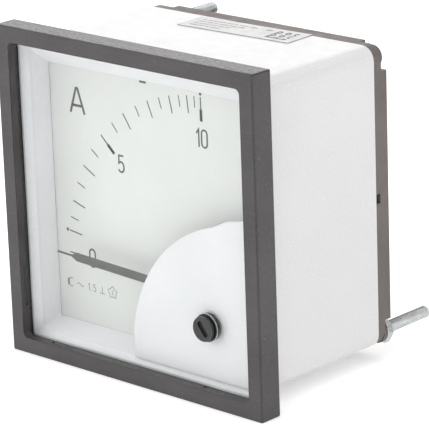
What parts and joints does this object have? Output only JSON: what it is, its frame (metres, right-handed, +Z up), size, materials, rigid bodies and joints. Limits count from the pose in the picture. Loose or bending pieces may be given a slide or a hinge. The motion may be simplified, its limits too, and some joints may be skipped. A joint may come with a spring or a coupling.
{
  "type": "panel ammeter",
  "caption": "Square panel ammeter with a quarter-circle dial, edge-pivoted pointer and moving-iron movement, zero adjuster, and rear studs and terminals.",
  "frame": {"origin": "under the middle of the whole meter, at the height of the bezel's lower edge", "axes": "+X to the right seen from the front, +Y from the bezel's front face into the depth, +Z up"},
  "size_m": [0.072, 0.0594, 0.072],
  "materials": {
    "black_plastic": "fine moulded grain",
    "dark_plastic": "moulded, brownish dark grey",
    "white_plastic": "satin moulded",
    "clear_window": "clear, polished",
    "dial_sheet": "painted pale greenish white and printed",
    "bobbin_plastic": "moulded",
    "sleeve": "insulating sleeve",
    "blackened_aluminium": "thin sheet, matt black paint",
    "aluminium": "stamped",
    "brass": "turned",
    "spring_bronze": "rolled strip",
    "copper": "enamelled wire",
    "soft_iron": "annealed sheet",
    "zinc_steel": "zinc plated",
    "label_foil": "silver-white foil"
  },
  "bodies": {
    "case": {"bezel": "black_plastic", "window_pane": "clear_window", "housing": "white_plastic", "dial_surround": "white_plastic", "rear_base": "dark_plastic", "dial_plate": "dial_sheet", "dial_screw_1": "zinc_steel", "dial_screw_2": "zinc_steel", "movement_cover": "white_plastic", "front_bridge": "aluminium", "bridge_screw_1": "zinc_steel", "bridge_screw_2": "zinc_steel", "front_jewel_screw": "brass", "rear_jewel_screw": "brass", "fixed_iron": "soft_iron", "coil_bobbin": "bobbin_plastic", "coil_winding": "copper", "coil_lead_left": "sleeve", "coil_lead_right": "sleeve", "damping_chamber": "white_plastic", "damping_lid": "aluminium", "stack_screw_1": "zinc_steel", "stack_screw_2": "zinc_steel", "movement_frame": "white_plastic", "frame_screw_1": "zinc_steel", "frame_screw_2": "zinc_steel", "frame_screw_3": "zinc_steel", "terminal_stud_left": "brass", "terminal_stud_right": "brass", "mounting_stud_lower": "zinc_steel", "mounting_stud_upper": "zinc_steel", "rating_label": "label_foil"},
    "adjuster": {"zero_adjuster": "black_plastic"},
    "lever": {"zero_lever": "brass", "hairspring": "spring_bronze"},
    "moving_system": {"pointer": "blackened_aluminium", "pointer_hub": "aluminium", "tail_weight": "brass", "side_weight": "brass", "staff": "zinc_steel", "moving_iron": "soft_iron", "damping_vane": "aluminium"},
    "washer_left": {"terminal_washer_left": "brass"},
    "nut_left": {"terminal_nut_left": "brass"},
    "washer_right": {"terminal_washer_right": "brass"},
    "nut_right": {"terminal_nut_right": "brass"},
    "stud_nut_lower": {"mounting_nut_lower": "zinc_steel"},
    "stud_nut_upper": {"mounting_nut_upper": "zinc_steel"}
  },
  "joints": [
    {"name": "zero_adjust", "type": "hinge", "parent": "case", "child": "adjuster", "pos_m": [0.0195, -0.02765, 0.0162], "axis": [0, 1, 0], "range_deg": [-45, 45]},
    {"name": "lever_tilt", "type": "hinge", "parent": "case", "child": "lever", "pos_m": [0.0138, -0.0232, 0.0214], "axis": [0, 1, 0], "range_deg": [-4.5, 4.5]},
    {"name": "pointer_swing", "type": "hinge", "parent": "lever", "child": "moving_system", "pos_m": [0.0138, -0.00965, 0.0214], "axis": [0, 1, 0], "range_deg": [-5, 90], "stiffness_Nm_per_rad": 0.00005},
    {"name": "terminal_travel_left", "type": "slide", "parent": "case", "child": "washer_left", "axis": [0, 1, 0], "range_m": [0, 0.0035]},
    {"name": "terminal_spin_left", "type": "hinge", "parent": "washer_left", "child": "nut_left", "pos_m": [-0.013, 0.01795, 0.036], "axis": [0, 1, 0], "range_deg": [0, 1800]},
    {"name": "terminal_travel_right", "type": "slide", "parent": "case", "child": "washer_right", "axis": [0, 1, 0], "range_m": [0, 0.0035]},
    {"name": "terminal_spin_right", "type": "hinge", "parent": "washer_right", "child": "nut_right", "pos_m": [0.013, 0.01795, 0.036], "axis": [0, 1, 0], "range_deg": [0, 1800]},
    {"name": "mounting_nut_lower_travel", "type": "slide", "parent": "case", "child": "stud_nut_lower", "axis": [0, 1, 0], "range_m": [0, 0.0125]},
    {"name": "mounting_nut_upper_travel", "type": "slide", "parent": "case", "child": "stud_nut_upper", "axis": [0, 1, 0], "range_m": [0, 0.0125]}
  ],
  "couplings": [
    {"joint": "lever_tilt", "follows": "zero_adjust", "ratio": 0.0939},
    {"joint": "terminal_spin_left", "follows": "terminal_travel_left", "rad_per_m": 8976},
    {"joint": "terminal_spin_right", "follows": "terminal_travel_right", "rad_per_m": 8976}
  ]
}
